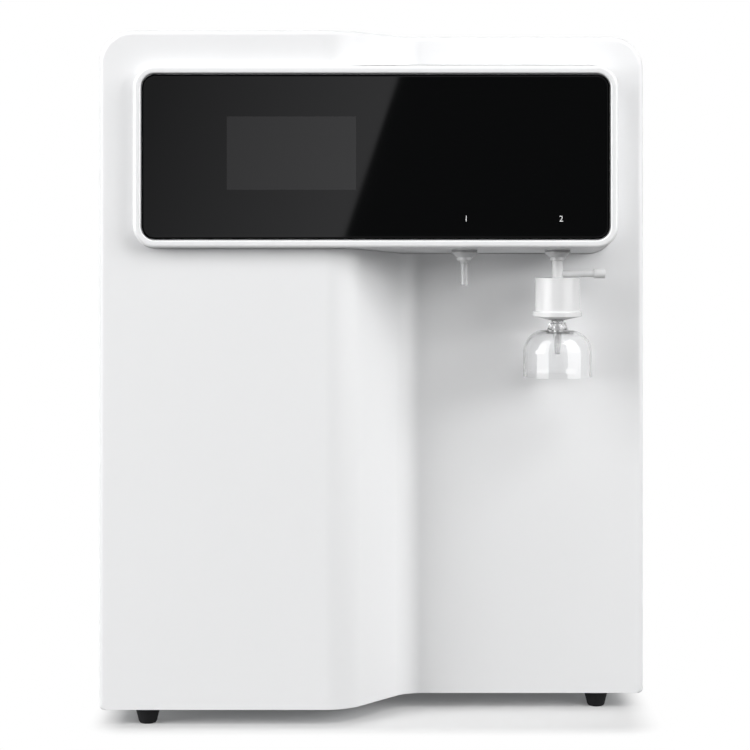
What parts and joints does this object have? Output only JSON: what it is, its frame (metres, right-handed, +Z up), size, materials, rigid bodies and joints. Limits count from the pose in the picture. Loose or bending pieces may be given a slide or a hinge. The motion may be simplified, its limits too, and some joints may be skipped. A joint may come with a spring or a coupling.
{
  "type": "bench-top ultrapure water system",
  "caption": "Bench-top ultrapure water system: stepped white cabinet, flared pod with black glass display, nozzle outlet and capsule-filter outlet with clear bell.",
  "frame": {"origin": "on the bench, under the middle of the whole unit", "axes": "+X to the right and +Y to the back as seen from the front, +Z up"},
  "size_m": [0.41, 0.47, 0.515],
  "materials": {
    "white_moulding": "semi-gloss white",
    "bezel_white": "gloss white",
    "casing_paint": "fine satin white powder coat",
    "black_glass": "gloss black-backed glass",
    "black_rubber": "matte",
    "steel": "zinc plated sheet",
    "stainless": "drawn stainless tube",
    "fitting_plastic": "natural polypropylene",
    "capsule_plastic": "gloss white polypropylene",
    "clear_plastic": "clear polycarbonate",
    "filter_media": "pleated membrane",
    "black_plastic": "matte black",
    "cartridge_white": "semi-gloss",
    "cartridge_blue": "semi-gloss",
    "cartridge_grey": "semi-gloss",
    "motor_metal": "satin",
    "board_green": "solder mask",
    "brass": "plated",
    "tube_plastic": "translucent polyethylene",
    "blue_plastic": "matte",
    "red_plastic": "matte",
    "grey_plastic": "matte",
    "lcd_dark": "display panel",
    "quartz": "frosted quartz lamp",
    "magnet": "sintered"
  },
  "bodies": {
    "cabinet": {"front_cover": "white_moulding", "casing_wrap": "casing_paint", "rear_panel": "casing_paint", "base_plate": "steel", "feet": "black_rubber", "foot_screws": "steel", "casing_screws": "steel", "rear_screws": "steel", "door_hinges": "steel", "door_magnets": "magnet", "display_housing": "white_moulding", "display_bezel": "bezel_white", "front_glass": "black_glass", "glass_gasket": "black_rubber", "display_module": "lcd_dark", "touch_sensor": "board_green", "display_back": "steel", "pod_screws": "steel", "outlet_1_fitting": "fitting_plastic", "outlet_2_fitting": "fitting_plastic", "outlet_nuts": "fitting_plastic", "capsule_housing": "capsule_plastic", "capsule_element": "filter_media", "middle_wall": "steel", "shelf": "steel", "cartridge_heads": "cartridge_white", "booster_motor": "motor_metal", "booster_head": "black_plastic", "booster_bracket": "steel", "booster_mounts": "black_rubber", "circulation_motor": "motor_metal", "circulation_head": "black_plastic", "circulation_bracket": "steel", "circulation_mounts": "black_rubber", "uv_chamber": "stainless", "uv_end_caps": "black_plastic", "uv_lamp": "quartz", "uv_clamps": "steel", "solenoid_valves": "grey_plastic", "flow_sensor": "black_plastic", "power_supply": "steel", "control_board": "board_green", "board_standoffs": "brass", "power_inlet": "black_plastic", "inlet_pins": "steel", "switch_body": "black_plastic", "port_bodies": "grey_plastic", "feed_tube": "tube_plastic", "inner_tubes": "tube_plastic"},
    "door": {"service_door": "casing_paint"},
    "pretreatment_unit": {"pretreatment_cartridge": "cartridge_white"},
    "reverse_osmosis_unit": {"reverse_osmosis_cartridge": "cartridge_blue"},
    "polishing_unit": {"polishing_cartridge": "cartridge_grey"},
    "vent_cap": {"vent_cap": "capsule_plastic"},
    "bell": {"clear_bell": "clear_plastic"},
    "rocker": {"switch_rocker": "black_plastic"},
    "drawer": {"fuse_drawer": "black_plastic"},
    "feed_release": {"feed_collet": "blue_plastic"},
    "reject_release": {"reject_collet": "red_plastic"},
    "tank_release": {"tank_collet": "grey_plastic"}
  },
  "joints": [
    {"name": "door_hinge", "type": "hinge", "parent": "cabinet", "child": "door", "pos_m": [-0.1947, 0.173, 0.242], "axis": [0, 0, -1], "range_deg": [0, 100]},
    {"name": "pretreatment_turn", "type": "hinge", "parent": "cabinet", "child": "pretreatment_unit", "pos_m": [-0.142, -0.0575, 0.386], "axis": [0, 0, 1], "range_deg": [0, 90]},
    {"name": "reverse_osmosis_turn", "type": "hinge", "parent": "cabinet", "child": "reverse_osmosis_unit", "pos_m": [-0.142, 0.0365, 0.386], "axis": [0, 0, 1], "range_deg": [0, 90]},
    {"name": "polishing_turn", "type": "hinge", "parent": "cabinet", "child": "polishing_unit", "pos_m": [-0.142, 0.1305, 0.386], "axis": [0, 0, 1], "range_deg": [0, 90]},
    {"name": "vent_cap_turn", "type": "hinge", "parent": "cabinet", "child": "vent_cap", "pos_m": [0.1635, -0.206, 0.33431], "axis": [1, 0, 0], "range_deg": [0, 180]},
    {"name": "bell_pull", "type": "slide", "parent": "cabinet", "child": "bell", "axis": [0, 0, -1], "range_m": [0, 0.02]},
    {"name": "switch_tilt", "type": "hinge", "parent": "cabinet", "child": "rocker", "pos_m": [0.14, 0.2135, 0.14], "axis": [-1, 0, 0], "range_deg": [0, 18]},
    {"name": "fuse_drawer_slide", "type": "slide", "parent": "cabinet", "child": "drawer", "axis": [0, 1, 0], "range_m": [0, 0.014]},
    {"name": "feed_collet_press", "type": "slide", "parent": "cabinet", "child": "feed_release", "axis": [0, -1, 0], "range_m": [0, 0.0012], "stiffness_N_per_m": 300},
    {"name": "reject_collet_press", "type": "slide", "parent": "cabinet", "child": "reject_release", "axis": [0, -1, 0], "range_m": [0, 0.0012], "stiffness_N_per_m": 300},
    {"name": "tank_collet_press", "type": "slide", "parent": "cabinet", "child": "tank_release", "axis": [0, -1, 0], "range_m": [0, 0.0012], "stiffness_N_per_m": 300}
  ]
}
